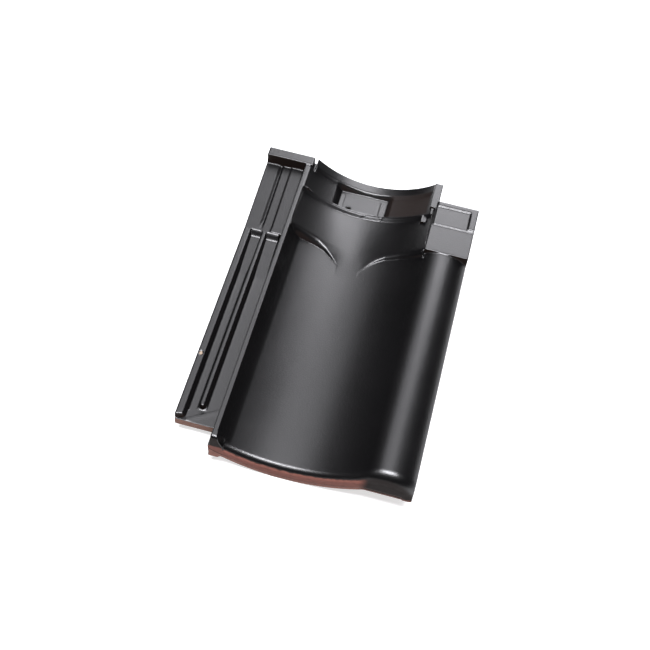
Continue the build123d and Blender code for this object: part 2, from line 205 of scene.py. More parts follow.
# %% Skin the body
SKIN_STEP = 0.8 * MM
WELD_REACH = 0.01 * MM


def apply_modifier(obj, kind, **settings):
    """Put one modifier on an object and make its result the mesh."""
    modifier = obj.modifiers.new(kind.lower(), kind)
    for name, value in settings.items():
        setattr(modifier, name, value)
    bpy.context.view_layer.objects.active = obj
    bpy.ops.object.modifier_apply(modifier=modifier.name)


cad_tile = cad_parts["roof_tile"]
body = bpy.data.objects.new("pressed_body", cad_tile.data.copy())
bpy.context.scene.collection.objects.link(body)
body.data.materials.clear()
weld = bmesh.new()
weld.from_mesh(body.data)
bmesh.ops.remove_doubles(weld, verts=weld.verts, dist=WELD_REACH)
weld.to_mesh(body.data)
weld.free()
apply_modifier(body, "REMESH", mode="VOXEL", voxel_size=SKIN_STEP, adaptivity=0)
print("skin faces:", len(body.data.polygons))


# %% [markdown]
# ## The maker's measure
#
# A tile maker measures from the outer edge of the side lock and from the foot edge, in
# millimetres. The frame has its zero under the middle of the tile instead. Two small
# helpers read and write the skin's points in the maker's measure, so every later number
# can be held against a real tile: x goes across, y from foot to head and z up.

# %% Read the skin's points
def read_points(mesh):
    """The skin's points in the maker's millimetres, one row each."""
    flat = np.empty(len(mesh.vertices) * 3)
    mesh.vertices.foreach_get("co", flat)
    return (flat.reshape(-1, 3) - np.array(low)) / MM


def write_points(mesh, places):
    """Give the skin back its points, turned into frame metres."""
    mesh.vertices.foreach_set("co", (places * MM + np.array(low)).ravel())
    mesh.update()


points = read_points(body.data)
print("points:", len(points))


# %% [markdown]
# ## True curves
#
# A CAD solid comes into the scene as flat facets. On matt clay nobody would see them, but a
# dark gloss shows each facet as a stripe. The tile's section is made of arcs, so every
# skin point that lies within a hair of such an arc is set exactly on it. Trough and roll
# touch each other in one place, and there each point belongs to one of the two arcs only.

# %% Set the skin on its arcs
# Each arc: its middle across, its middle up, its radius
TROUGH = (121.034, 168.705, 146.005)
ROLL = (229.7, 22.7, 36.0)
UNDER_TROUGH = (121.034, 168.705, 157.505)
ROLL_INSIDE = (228.199, 27.2, 20.0)
CREST = (126.034, 138.604, 112.404)
HEAD_RIB = (128.034, 134.613, 106.113)
NOSE_BOTTOM = (124.034, 157.005, 157.005)
MEETING_X = 208.2  # trough and roll touch here
WIDTH = (high.x - low.x) / MM
HAIR = 0.25
HAIR_FADE = 0.1


def arc_height(x, arc):
    """Height of a hanging arc over the places x."""
    middle, up, radius = arc
    return up - np.sqrt(np.maximum(radius**2 - (x - middle) ** 2, 0))


def set_on(arc):
    """Set all points within a hair of an arc on it, and count them."""
    first, last = (MEETING_X, WIDTH) if arc in (ROLL, ROLL_INSIDE) else (0, MEETING_X)
    x, z = points[:, 0] - arc[0], points[:, 2] - arc[1]
    reach = np.hypot(x, z)
    off = reach - arc[2]
    share = np.clip((HAIR + HAIR_FADE - np.abs(off)) / HAIR_FADE, 0, 1)
    share *= (points[:, 0] >= first) & (points[:, 0] <= last)
    scale = 1 - share * off / reach
    points[:, 0] = arc[0] + x * scale
    points[:, 2] = arc[1] + z * scale
    return int((share > 0).sum())


for arc in (TROUGH, ROLL, UNDER_TROUGH, ROLL_INSIDE, CREST, HEAD_RIB, NOSE_BOTTOM):
    print("points set on an arc:", set_on(arc))


# %% [markdown]
# ## The rounded foot
#
# The foot edge is rolled over in the mould, by eight millimetres along the trough and by
# more over the roll, where the round catches the strongest light of the whole tile. Each
# skin point near the edge has a depth below the weather face and a distance from the foot
# face. Where it lies outside a circle between those two, it is pulled in onto it.

# %% Roll the foot edge over
FOOT_ROUND = 8.0
ROLL_FRONT_ROUND = 14.0
ROUND_GROWS = (190, 222)  # places across between which the round grows
ROUND_LEFT = 60
SKIN_SLACK = 0.3
TINY = 0.01  # keeps a division away from zero


def fade(value, start, end):
    """0 up to the start, 1 from the end on, and soft between."""
    t = np.clip((value - start) / (end - start), 0, 1)
    return t * t * (3 - 2 * t)


def depth_below_weather_face(x, z):
    """How far a point lies inside the clay, square to the face above it."""
    under_trough = np.hypot(x - TROUGH[0], z - TROUGH[1]) - TROUGH[2]
    inside_roll = ROLL[2] - np.hypot(x - ROLL[0], z - ROLL[1])
    return np.where(x < MEETING_X, under_trough, inside_roll)


def roll_over():
    """Pull the foot's upper edge in onto its round."""
    x, y, z = points.T
    ring = FOOT_ROUND + (ROLL_FRONT_ROUND - FOOT_ROUND) * fade(x, *ROUND_GROWS)
    deep = depth_below_weather_face(x, z)
    corner = (y < ring) & (deep < ring) & (deep > -SKIN_SLACK) & (x > ROUND_LEFT)
    up, out = ring - deep, ring - y
    reach = np.hypot(up, out)
    corner &= reach > ring - HAIR
    pull = np.where(corner, 1 - ring / np.maximum(reach, TINY), 0)
    points[:, 1] += pull * out
    move = pull * up  # deeper into the clay, away from the weather face
    to_trough = np.stack([x - TROUGH[0], z - TROUGH[1]]) / (TROUGH[2] + np.maximum(deep, 0))
    to_roll = -np.stack([x - ROLL[0], z - ROLL[1]]) / np.maximum(ROLL[2] - deep, 1)
    way = np.where(x < MEETING_X, to_trough, to_roll)
    points[:, 0] += move * way[0]
    points[:, 2] += move * way[1]
    return int(corner.sum())


print("points rolled over:", roll_over())


# %% [markdown]
# ## The rim's end
#
# The rim between side lock and trough runs almost to the foot face and only then turns
# down, in a round of five millimetres. The solid has a larger round there, a quarter
# circle about a point behind and below the corner. Each point is pushed outwards from that
# middle, until the quarter circle has become a square corner with a small round.

# %% Reshape the rim's end
RIM_TOP = 52.9
CAD_RIM_ROUND, RIM_ROUND = 14.0, 5.0
RIM_SIDES = (43.5, 60.5)


def reshape_rim_end():
    """Stretch the large quarter round into a square corner with a small round."""
    x, y, z = points.T
    out, up = CAD_RIM_ROUND - y, z - (RIM_TOP - CAD_RIM_ROUND)
    here = (out > 0) & (up > 0) & (x > RIM_SIDES[0]) & (x < RIM_SIDES[1])
    reach = np.maximum(np.hypot(out, up), TINY)
    to_foot, to_top = out / reach, up / reach
    side = CAD_RIM_ROUND / np.maximum(np.maximum(to_foot, to_top), TINY)
    inner = CAD_RIM_ROUND - RIM_ROUND
    ahead = inner * (to_foot + to_top)
    miss = 2 * inner**2 - ahead**2
    bend = ahead + np.sqrt(np.maximum(RIM_ROUND**2 - miss, 0))
    in_bend = np.minimum(to_foot, to_top) * side > inner
    stretch = np.where(in_bend, bend, side) / CAD_RIM_ROUND
    points[:, 1] = np.where(here, CAD_RIM_ROUND - out * stretch, y)
    points[:, 2] = np.where(here, RIM_TOP - CAD_RIM_ROUND + up * stretch, z)
    return int(here.sum())


print("points of the rim's end:", reshape_rim_end())


# %% [markdown]
# ## The valley beside the rim
#
# Pressed clay never meets in a sharp inner corner: water would stand in it and the glaze
# would pool. The rim's steep flank and the trough therefore run into each other over a soft
# curve. Where their heights are less than 14 millimetres apart, the ground is raised.

# %% Fill the valley
RIM_EDGE, RIM_FALL = 52.5, 2.37
VALLEY = 14.0  # difference in height at which the filling starts
VALLEY_RIGHT, VALLEY_FOOT, VALLEY_HEAD = 80, 5, 345
VALLEY_STARTS = (5, 12)
EDGE_STARTS = (52.5, 54)
SKIN_DEPTH = 2  # what lies deeper than this belongs to the underside


def rim_and_trough(x, valley):
    """Ground between rim and trough, with the valley filled by a soft curve."""
    trough = arc_height(x, TROUGH)
    flank = RIM_TOP - (x - RIM_EDGE) * RIM_FALL
    fill = np.maximum(valley - np.abs(trough - flank), 0) ** 2 / (4 * max(valley, 1))
    return np.maximum(trough, flank) + fill


def fill_valley():
    """Raise the weather face to the filled valley."""
    x, y, z = points.T
    sharp = rim_and_trough(x, 0)
    rise = rim_and_trough(x, VALLEY) - sharp
    here = (x > RIM_EDGE) & (x < VALLEY_RIGHT) & (y > VALLEY_FOOT) & (y < VALLEY_HEAD)
    here &= z > sharp - SKIN_DEPTH
    points[:, 2] += np.where(here, rise * fade(y, *VALLEY_STARTS) * fade(x, *EDGE_STARTS), 0)
    return rise.max()


print("highest filling, mm:", round(fill_valley(), 2))


# %% [markdown]
# ## The channels of the side lock
#
# The ribs of the next tile lie in two channels. Their walls are steeper in the photograph
# than in the plain solid, so the walls are narrowed by moving points across: each place
# drawn goes to its real place, and what lies between follows. At the upper end both floors
# rise to the filled part of the flange.

# %% Narrow the channel walls and raise their ends
CHANNEL_FLOOR = 22.5
WALLS_DRAWN = (0, 7.0, 12.0, 20.0, 21.5, 25.0, 29.5, 42.5, 47)
WALLS_REAL = (0, 7.9, 10.8, 20.2, 21.3, 26.2, 28.9, 43.0, 47)
WALLS_RIGHT, WALLS_FOOT, WALLS_HEAD = RIM_EDGE - 6, 20, 290
WALLS_END = (284, 290)
ENDS_LEFT, ENDS_RIGHT, ENDS_HEAD = 9, 42.5, 283.2
SLOPE_FOOT, SLOPE_LENGTH, SLOPE_RISE = 223, 60, 3.0
BANK, BANK_RISE = (275, 283.6), 5.4


def steepen_walls():
    """Move each wall point across, from where it is drawn to where it is."""
    x, y, z = points.T
    here = (x < WALLS_RIGHT) & (y > WALLS_FOOT) & (y < WALLS_HEAD) & (z > CHANNEL_FLOOR - 0.5)
    share = np.where(here, fade(-y, -WALLS_END[1], -WALLS_END[0]), 0)
    points[:, 0] += share * (np.interp(x, WALLS_DRAWN, WALLS_REAL) - x)
    return int(here.sum())


def raise_channel_ends():
    """Let both floors rise slowly, then over a short bank."""
    x, y, z = points.T
    slope = CHANNEL_FLOOR + SLOPE_RISE * np.clip((y - SLOPE_FOOT) / SLOPE_LENGTH, 0, 1)
    floor = slope + BANK_RISE * fade(y, *BANK)
    here = (x > ENDS_LEFT) & (x < ENDS_RIGHT) & (y > SLOPE_FOOT) & (y < ENDS_HEAD)
    here &= (z > CHANNEL_FLOOR - 2.5) & (z < floor)
    points[here, 2] = floor[here]
    return int(here.sum())


print("points of the walls:", steepen_walls())
print("points of the channel ends:", raise_channel_ends())


# %% [markdown]
# ## The ribs' foot ends
#
# The inner rib ends in a small round short of the foot, and the outer rib is cut off
# slantwise, so that water leaves the channel to the side. The round is made by moving the
# rib's end back the more a point lies off its middle line. The slanting end is carried
# further to the foot than the solid has it.

# %% Round and stretch the ribs' foot ends
INNER_RIB_MIDDLE, INNER_RIB_HALF = 24.3, 3.4
INNER_RIB_END = (43, 52)
INNER_RIB_CALM = 46
INNER_RIB_BACK, INNER_RIB_MOST, INNER_RIB_REACH = 3.2, 1.3, 1.6
ABOVE_FLOOR = CHANNEL_FLOOR + 0.5
SLANT_FOOT, SLANT_RUN, SLANT_WIDTH = 27, 17, 15
SLANT_SIDES, SLANT_CALM, SLANT_GROWS = (-1, 13), (2, 22), 0.75


def round_inner_rib():
    """Move the rib's end back, the more the further off its middle line."""
    x, y, z = points.T
    off = np.abs(x - INNER_RIB_MIDDLE) / INNER_RIB_HALF
    here = (off < INNER_RIB_REACH) & (y > INNER_RIB_END[0]) & (y < INNER_RIB_END[1]) & (z > ABOVE_FLOOR)
    near = fade(-y, -INNER_RIB_END[1], -INNER_RIB_CALM)
    points[:, 1] += np.where(here, INNER_RIB_BACK * np.minimum(off, INNER_RIB_MOST) ** 2 * near, 0)
    return int(here.sum())


def stretch_outer_rib():
    """Carry the slanting end on towards the foot."""
    x, y, z = points.T
    wall = SLANT_FOOT + (x + 1) * SLANT_RUN / SLANT_WIDTH
    here = (x > SLANT_SIDES[0]) & (x < SLANT_SIDES[1]) & (z > ABOVE_FLOOR)
    here &= (y > wall - 1) & (y < wall + SLANT_CALM[1])
    near = 1 - fade(y, wall + SLANT_CALM[0], wall + SLANT_CALM[1])
    points[:, 1] -= np.where(here, (1 + SLANT_GROWS * x) * near, 0)
    return int(here.sum())


print("points of the inner rib's end:", round_inner_rib())
print("points of the outer rib's end:", stretch_outer_rib())


# %% [markdown]
# ## Crease and chip
#
# A faint crease crosses the flange near its foot, where the mould steps by a third of a
# millimetre. Higher up, a small chip is broken out of the outer rib. Marks like these are
# easy to leave out and quickly missed, so both are made as real form.

# %% Crease the flange and chip the outer rib
CREASE_FOOT, CREASE_LEFT, CREASE_SLANT = 30.0, 12, 0.62
CREASE_STEP = 0.35
CREASE_STARTS, CREASE_RUNS_OUT = (-0.5, 0.4), (1.0, 9.0)
FLANGE_FACE = (11, 43)
CHIP_X, CHIP_Y, CHIP_Z = 4.0, 105.3, 31.0
CHIP_ACROSS, CHIP_ALONG, CHIP_DEPTH = 2.4, 3.0, 1.5
CHIP_REACH_DOWN = (5, 1)
RAGGED_SHARE, RAGGED_ALONG, RAGGED_ACROSS = 0.4, 2.1, 2.7


def crease_flange():
    """Raise a low step along a slanting line and let it run out towards the foot."""
    x, y, z = points.T
    below = CREASE_FOOT + (x - CREASE_LEFT) * CREASE_SLANT - y
    here = (x > FLANGE_FACE[0]) & (x < FLANGE_FACE[1]) & (y > SLANT_FOOT)
    here &= (z > CHANNEL_FLOOR - 1.5) & (z < CHANNEL_FLOOR + 0.7)
    step = CREASE_STEP * fade(below, *CREASE_STARTS) * (1 - fade(below, *CREASE_RUNS_OUT))
    points[:, 2] += np.where(here, step, 0)
    return int(here.sum())


def chip_outer_rib():
    """Press a small ragged hollow into the rib's top."""
    x, y, z = points.T
    apart = np.hypot((x - CHIP_X) / CHIP_ACROSS, (y - CHIP_Y) / CHIP_ALONG)
    bottom, calm = (CHIP_Z - reach for reach in CHIP_REACH_DOWN)
    here = (apart < 1) & (z > bottom)
    ragged = 1 + RAGGED_SHARE * np.sin(RAGGED_ALONG * y) * np.cos(RAGGED_ACROSS * x)
    depth = CHIP_DEPTH * (1 - apart**2) * ragged
    points[:, 2] -= np.where(here, depth * fade(z, bottom, calm), 0)
    return int(here.sum())


print("points of the crease:", crease_flange())
print("points of the chip:", chip_outer_rib())


# %% [markdown]
# ## The head lap
#
# Where the next row lies on this tile, the trough swells into a low lap. Its surface sinks
# gently from two curved ledges to the nail step, and between the ledges it runs out into
# the trough as a funnel for the water. The ledges are the finest modelling on the
# tile, so their crest and foot lines are given by a few places each, in millimetres, and
# the face between them is steep at its foot and round at its crest.

# %% Draw the ledges
LEFT_CREST_LINE = (
    (50, 291.6), (60, 291.2), (70, 291.2), (80, 292.0), (89, 292.4), (98, 290.4), (106, 285.2),
    (112, 278), (115.4, 269),
)
LEFT_FOOT_LINE = (
    (50, 283.8), (76, 283.6), (87, 282.7), (97, 279.4), (106, 273.2), (114, 266.4), (115.4, 265.4),
)
RIGHT_CREST_LINE = (
    (140.6, 266.5), (144.5, 277.5), (150, 286), (158, 292), (167.5, 294.5), (180, 294.4), (208, 292.8),
)
RIGHT_FOOT_LINE = (
    (140.6, 262.8), (146.5, 268.4), (151.5, 275), (158, 280.4), (166, 284), (182, 285.8), (208, 285),
)
CREST_SPARE, SHORTEST_RUN, LEAST_RISE = 1.2, 1.5, 0.3
STEEPNESS, ROUNDEST, STEEPEST = 1.8, 2.6, 12  # the curve's power, and its least and most


def along(x, line):
    """Where a line through a few places lies at x."""
    places = np.array(line)
    return np.interp(x, places[:, 0], places[:, 1])


def ledge(x, y, crest_line, foot_line, rise):
    """0 at the ledge's foot line, 1 from its crest on: steep below, round above."""
    foot = along(x, foot_line)
    run = np.maximum(along(x, crest_line) + CREST_SPARE - foot, SHORTEST_RUN)
    u = np.clip((y - foot) / run, 0, 1)
    return 1 - (1 - u) ** np.clip(STEEPNESS * run / np.maximum(rise, LEAST_RISE), ROUNDEST, STEEPEST)


print("ledge tips, mm:", LEFT_CREST_LINE[-1], RIGHT_CREST_LINE[0])


# %% [markdown]
# ## The lap's surface
#
# Between the ledges and the nail step the lap blends two sections: the nail step's arc
# above, and below it the trough with a slope added on each side of the funnel. The step
# itself is four millimetres long, with two small drains cut across it. Only points of the
# weather face move. The plateau's corner tab, which stands free of the lap, stays.

# %% Model the lap
STEP_FOOT, STEP_CREST = 340.6, 344.4
STEP_HEIGHT, STEP_SOFTNESS = 3.5, 1.0
LEFT_SLOPE, RIGHT_SLOPE = 0.193, 0.115  # rise of the lap above the trough, away from the funnel
FUNNEL, FUNNEL_SOFTNESS = (120.0, 138.0), 8
FUNNEL_RUNS_OUT = (250, 288)
LAP_LOW_END = 290
LEFT_TIP, RIGHT_TIP = (103, 115.4), (140.6, 152)
NOTCHES = ((130.0, 345.0), (151.6, 345.7))
NOTCH_SLANT, NOTCH_DEPTH, NOTCH_HALF, NOTCH_STARTS = 0.9, 1.1, 1.6, (6, 2)
LAP_SIDES, LAP_FOOT, LAP_SKIN = (52.7, 207.2), 250, 3
TAB_LEFT, TAB_FOOT, TAB_CLEAR = 192, 332, 0.3


def soft_ramp(value, width):
    """Zero on the left, the value itself on the right, round between."""
    return 0.5 * (value + np.sqrt(value**2 + width**2))


def lap_surface(x, y):
    """Height of the lap, as if its ledges ran on for ever."""
    trough = arc_height(x, TROUGH)
    at_step = trough + soft_ramp(arc_height(x, CREST) - STEP_HEIGHT - trough, STEP_SOFTNESS)
    left = LEFT_SLOPE * soft_ramp(FUNNEL[0] - x, FUNNEL_SOFTNESS)
    right = RIGHT_SLOPE * soft_ramp(x - FUNNEL[1], FUNNEL_SOFTNESS)
    at_ledge = trough + left + right
    share = np.clip((STEP_FOOT - y) / (STEP_FOOT - LAP_LOW_END), 0, 1)
    return at_step * (1 - share) + at_ledge * share


def lap_share(x, y, rise):
    """1 on the lap, 0 in the trough below the ledges."""
    run_out = fade(y, *FUNNEL_RUNS_OUT)
    near_left = fade(x, *LEFT_TIP)
    near_right = 1 - fade(x, *RIGHT_TIP)
    left = ledge(x, y, LEFT_CREST_LINE, LEFT_FOOT_LINE, rise) * (1 - near_left * (1 - run_out))
    right = ledge(x, y, RIGHT_CREST_LINE, RIGHT_FOOT_LINE, rise) * (1 - near_right * (1 - run_out))
    shape = np.where(x < LEFT_TIP[1], left, np.where(x > RIGHT_TIP[0], right, 0))
    return np.where((x >= LEFT_TIP[1]) & (x <= RIGHT_TIP[0]), run_out, shape)


def model_lap():
    """Set the weather face between rim and roll on the lap."""
    x, y, z = points.T
    ground = rim_and_trough(x, VALLEY)
    rise = lap_surface(x, y) - ground
    height = ground + np.maximum(rise, 0) * lap_share(x, y, rise)
    climb = np.clip((y - STEP_FOOT) / (STEP_CREST - STEP_FOOT), 0, 1)
    height += (np.maximum(arc_height(x, CREST), height) - height) * climb
    for notch_x, notch_y in NOTCHES:
        aside = np.abs((x - notch_x) - (y - notch_y) * NOTCH_SLANT)
        start, end = (notch_y - before for before in NOTCH_STARTS)
        height -= NOTCH_DEPTH * np.clip(1 - aside / NOTCH_HALF, 0, 1) * fade(y, start, end)
    here = (x > LAP_SIDES[0]) & (x < LAP_SIDES[1]) & (y > LAP_FOOT) & (y < STEP_CREST)
    tab = (x > TAB_LEFT) & (y > TAB_FOOT) & (z > height + TAB_CLEAR)
    here &= (z > ground - LAP_SKIN) & ~tab
    points[here, 2] = height[here]
    return int(here.sum())


print("points of the lap:", model_lap())


# %% [markdown]
# ## The head rib
#
# Behind the nail step lies a channel with a flat pan, closed by the rib at the head. The
# rib's front stands steeper than a ruled solid makes it, so its face is set again between
# the channel's floor and the rib's arc.

# %% Stand the rib's front up
RIB_FRONT = (374.2, 379.0)
RIB_STEEPNESS = 1.6
RIB_SIDES, RIB_DEPTH, RIB_SKIN = (61, 200.5), (370, 379.2), 3
PAN_LEFT, PAN_RIGHT, PAN_FLOOR = 95.0, 152.0, 24.5
PAN_WALL_RISE, PAN_WALL_RUN = 8.5, 7


def stand_rib_up():
    """Set the rib's front between the channel's floor and the rib's arc."""
    x, y, z = points.T
    left_wall = PAN_FLOOR + (PAN_LEFT - x) * PAN_WALL_RISE / PAN_WALL_RUN
    right_wall = PAN_FLOOR + (x - PAN_RIGHT) * PAN_WALL_RISE / PAN_WALL_RUN
    pan = np.maximum(np.maximum(left_wall, right_wall), PAN_FLOOR)
    floor = np.minimum(arc_height(x, CREST), pan)
    climb = np.clip((y - RIB_FRONT[0]) / (RIB_FRONT[1] - RIB_FRONT[0]), 0, 1)
    climb = 1 - (1 - climb) ** RIB_STEEPNESS
    height = floor + (arc_height(x, HEAD_RIB) - floor) * climb
    here = (x > RIB_SIDES[0]) & (x < RIB_SIDES[1]) & (y > RIB_DEPTH[0]) & (y < RIB_DEPTH[1])
    here &= z > floor - RIB_SKIN
    points[here, 2] = height[here]
    return int(here.sum())


print("points of the rib's front:", stand_rib_up())
write_points(body.data, points)


# %% [markdown]
# ## Soft edges, fewer triangles
#
# A few rounds of the Smooth modifier round every edge alike by about a millimetre, as glaze
# does. The even skin spends as many faces on the flat as on the ribs. The Decimate
# modifier merges them where the surface hardly bends and leaves them where it does. The
# thinned mesh then borrows its normals from the fine one, so that the gloss stays calm.
# Thinning can lift a point by a tenth of a millimetre, so at last every point is held
# inside the CAD tile's box.

# %% Soften and thin the skin out
SOFTENING_PASSES = 3
SOFTENING = 0.5
TRIANGLES_WANTED = 190_000


def triangle_count(obj):
    return sum(len(p.vertices) - 2 for p in obj.data.polygons)


def shade_smooth(obj):
    obj.data.polygons.foreach_set("use_smooth", [True] * len(obj.data.polygons))


apply_modifier(body, "SMOOTH", factor=SOFTENING, iterations=SOFTENING_PASSES)
shade_smooth(body)
if triangle_count(body) > TRIANGLES_WANTED:
    fine = bpy.data.objects.new("fine_skin", body.data.copy())
    bpy.context.scene.collection.objects.link(fine)
    apply_modifier(
        body, "DECIMATE", decimate_type="COLLAPSE", ratio=TRIANGLES_WANTED / triangle_count(body)
    )
    shade_smooth(body)
    apply_modifier(
        body, "DATA_TRANSFER", object=fine, use_loop_data=True, data_types_loops={"CUSTOM_NORMAL"},
        loop_mapping="POLYINTERP_NEAREST",
    )
    bpy.data.objects.remove(fine)
write_points(body.data, np.clip(read_points(body.data), 0, np.array(high - low) / MM))
print("triangles:", triangle_count(body))


# %% [markdown]
# ## Glaze and bare clay
#
# The glaze is a satin black, sprayed from above. Level faces carry a full coat. Upright
# faces catch little of the spray, so their coat is thin, dull and brownish. The foot face
# and the underside stay bare: there the clay shows, red-brown and matt, with painted shade
# along the small step of the mould's parting line at the foot. One material holds all of
# this, and masks of place and slope choose between the finishes. A few small helpers keep
# the masks readable.

# %% Helpers for masks
def mask_tools(tree):
    """Functions that add one small node each and hand back its output."""

    def feed(socket, value):
        if hasattr(value, "is_linked"):
            tree.links.new(value, socket)
        else:
            socket.default_value = value

    def calc(operation, a, b=0.0, clamp=False):
        node = math_node(tree, operation)
        node.use_clamp = clamp
        feed(node.inputs[0], a)
        feed(node.inputs[1], b)
        return node.outputs[0]

    def product(first, *others):
        """All the values, multiplied one after the other."""
        for other in others:
            first = calc("MULTIPLY", first, other)
        return first

    def soft(value, start, end):
        """0 at the start, 1 at the end, soft between."""
        node = tree.nodes.new("ShaderNodeMapRange")
        node.interpolation_type = "SMOOTHSTEP"
        feed(node.inputs["Value"], value)
        node.inputs["From Min"].default_value = start
        node.inputs["From Max"].default_value = end
        return node.outputs["Result"]

    def blend(share, a, b):
        """Colour a where the share is 0 and b where it is 1."""
        node = tree.nodes.new("ShaderNodeMix")
        node.data_type = "RGBA"
        feed(node.inputs["Factor"], share)
        feed(node.inputs["A"], a)
        feed(node.inputs["B"], b)
        return node.outputs["Result"]

    def level(share, a, b):
        """Number a where the share is 0 and b where it is 1."""
        node = tree.nodes.new("ShaderNodeMapRange")
        feed(node.inputs["Value"], share)
        node.inputs["To Min"].default_value = a
        node.inputs["To Max"].default_value = b
        return node.outputs["Result"]

    return SimpleNamespace(tree=tree, calc=calc, product=product, soft=soft, blend=blend, level=level)


print("mask helpers ready")


# %% [markdown]
# ## Where a point lies
#
# Every mask asks the same few things of a point on the surface: its place in the maker's
# millimetres, the way its face looks, and a noise that makes limits wander a little, as
# a sprayed edge does. They are worked out once and shared.

# %% Read the place and the slope
CLOUD_SCALE, CLOUD_DETAIL = 18, 6
FLECK_SCALE, FLECK_DETAIL = 160, 4


def clouds(t, scale, detail):
    """A soft noise over the tile, between 0 and 1."""
    node = t.tree.nodes.new("ShaderNodeTexNoise")
    node.inputs["Scale"].default_value = scale
    node.inputs["Detail"].default_value = detail
    t.tree.links.new(t.where, node.inputs["Vector"])
    return node.outputs["Fac"]


def split(t, vector):
    """The three parts of a vector."""
    node = t.tree.nodes.new("ShaderNodeSeparateXYZ")
    t.tree.links.new(vector, node.inputs[0])
    return node.outputs


def read_place(t):
    """Add place, facing and noises to the mask tools."""
    t.where = t.tree.nodes.new("ShaderNodeTexCoord").outputs["Object"]
    place = split(t, t.where)
    t.x, t.y, t.z = (
        t.calc("MULTIPLY", t.calc("SUBTRACT", place[axis], low[axis]), 1 / MM) for axis in range(3)
    )
    t.facing = split(t, t.tree.nodes.new("ShaderNodeNewGeometry").outputs["Normal"])
    t.cloud = clouds(t, CLOUD_SCALE, CLOUD_DETAIL)
    t.fleck = clouds(t, FLECK_SCALE, FLECK_DETAIL)
    t.wander = t.calc("MULTIPLY", t.calc("SUBTRACT", t.fleck, 0.5), 2.0)


print("noise scales:", CLOUD_SCALE, FLECK_SCALE)


# %% [markdown]
# ## The coat of glaze
#
# How thick the coat is depends on how far a face looks up, with a ragged limit. Two places
# get little of it whatever their slope: the right part of the head channel, which stays
# dark and brownish, and upright faces that look to the foot.

# %% Mask the coat
GLAZE = (0.0012, 0.0012, 0.0013, 1)
GLAZE_CLOUD = (0.0018, 0.0016, 0.0018, 1)
GLAZE_THIN = (0.0085, 0.0055, 0.0045, 1)
COAT_STARTS, COAT_FULL = 0.02, 0.36  # upward part of a face's direction
COAT_RAGGED = 0.12
COAT_LEFT_OVER = 0.2
POOR_LEFT, POOR_RIGHT = (150, 156), (201, 198)
POOR_FOOT, POOR_HEAD = (346, 349), (381, 377)
FRONT_FACES = (-0.70, -0.92)


def coat_mask(t):
    """1 where the coat is full and 0 where there is none."""
    upward = t.calc("ADD", t.facing[2], t.calc("MULTIPLY", t.wander, COAT_RAGGED))
    in_channel = t.product(
        t.soft(t.x, *POOR_LEFT), t.soft(t.x, *POOR_RIGHT),
        t.soft(t.y, *POOR_FOOT), t.soft(t.y, *POOR_HEAD),
    )
    to_front = t.soft(t.facing[1], *FRONT_FACES)
    poor = t.calc("MAXIMUM", in_channel, to_front)
    return t.product(t.soft(upward, COAT_STARTS, COAT_FULL), t.level(poor, 1.0, COAT_LEFT_OVER))


def glaze_colour(t, coat):
    """Cloudy black where the coat is full and brownish where it is thin."""
    return t.blend(coat, GLAZE_THIN, t.blend(t.cloud, GLAZE, GLAZE_CLOUD))


print("full coat from an upward part of:", COAT_FULL)


# %% [markdown]
# ## The bare clay
#
# The tile's nose shows its clay in two bands, split by the mould's parting line. That line is
# a small step whose shade is painted as a dark line, at one height above the nose's lower
# edge, which is an arc.
# Behind the nose the clay is greyer. Dark flecks wander over all of it.

# %% Colour the clay
CLAY = (0.175, 0.072, 0.056, 1)
CLAY_LIGHT = (0.235, 0.115, 0.090, 1)
CLAY_GREY = (0.185, 0.105, 0.080, 1)
# dark colour of the clay's flecks, and painted shade under the small step at the parting line
FLECK_AND_STEP_SHADE = (0.020, 0.010, 0.008, 1)
BAND, BAND_SOFTNESS = 7.5, 0.4  # parting line above the lower edge
LINE_EDGE = (1.1, 0.3)
DARK_FLECKS = 0.5
GREY_STARTS = (18, 24)


def clay_colour(t):
    """The fired clay: two bands, flecks, painted shade along the parting line's step, and the grey part
    behind.
    """
    aside = t.calc("SUBTRACT", t.x, NOSE_BOTTOM[0])
    room_left = t.calc("SUBTRACT", NOSE_BOTTOM[2] ** 2, t.calc("MULTIPLY", aside, aside))
    under = t.calc("SQRT", t.calc("MAXIMUM", room_left, 0))
    above_edge = t.calc("SUBTRACT", t.z, t.calc("SUBTRACT", NOSE_BOTTOM[1], under))
    from_line = t.calc("ABSOLUTE", t.calc("SUBTRACT", above_edge, BAND))
    in_lower_band = t.soft(above_edge, BAND + BAND_SOFTNESS, BAND - BAND_SOFTNESS)
    clay = t.blend(in_lower_band, CLAY, CLAY_LIGHT)
    clay = t.blend(t.calc("MULTIPLY", t.wander, DARK_FLECKS, clamp=True), clay, FLECK_AND_STEP_SHADE)
    # painted shade: a dark line where the small step of the parting line would cast its shade
    clay = t.blend(t.soft(from_line, *LINE_EDGE), clay, FLECK_AND_STEP_SHADE)
    return t.blend(t.soft(t.y, *GREY_STARTS), clay, CLAY_GREY)


print("parting line above the edge, mm:", BAND)


# %% [markdown]
# ## Where the clay is bare
#
# Three parts of the foot are bare: the nose's foot face, the lower edge under the roll and
# the flange's own foot face. At the rim's corner glaze has run over the nose, so there only
# the lower part is bare. Everything that looks down is bare as well. Each part is a box
# with soft sides, times the share that faces the foot.

# %% Mask the bare clay
NOSE_DEPTH, NOSE_RIGHT = (9, 6), (212, 200)
RIM_CORNER_TOP, RIM_CORNER_RIGHT = (37, 34), (64, 70)
ROLL_LEFT, ROLL_TOP, ROLL_RAGGED, ROLL_BARE = (203, 208), (29, 25.5), 1.5, 0.7
FLANGE_FRONT, FLANGE_BACK, FLANGE_TOP = (20, 24), (32, 28), (24.5, 23.2)
FACES_FOOT, FOOT_RAGGED = (0.80, 0.93), 0.1
FACES_DOWN = (-0.15, -0.45)


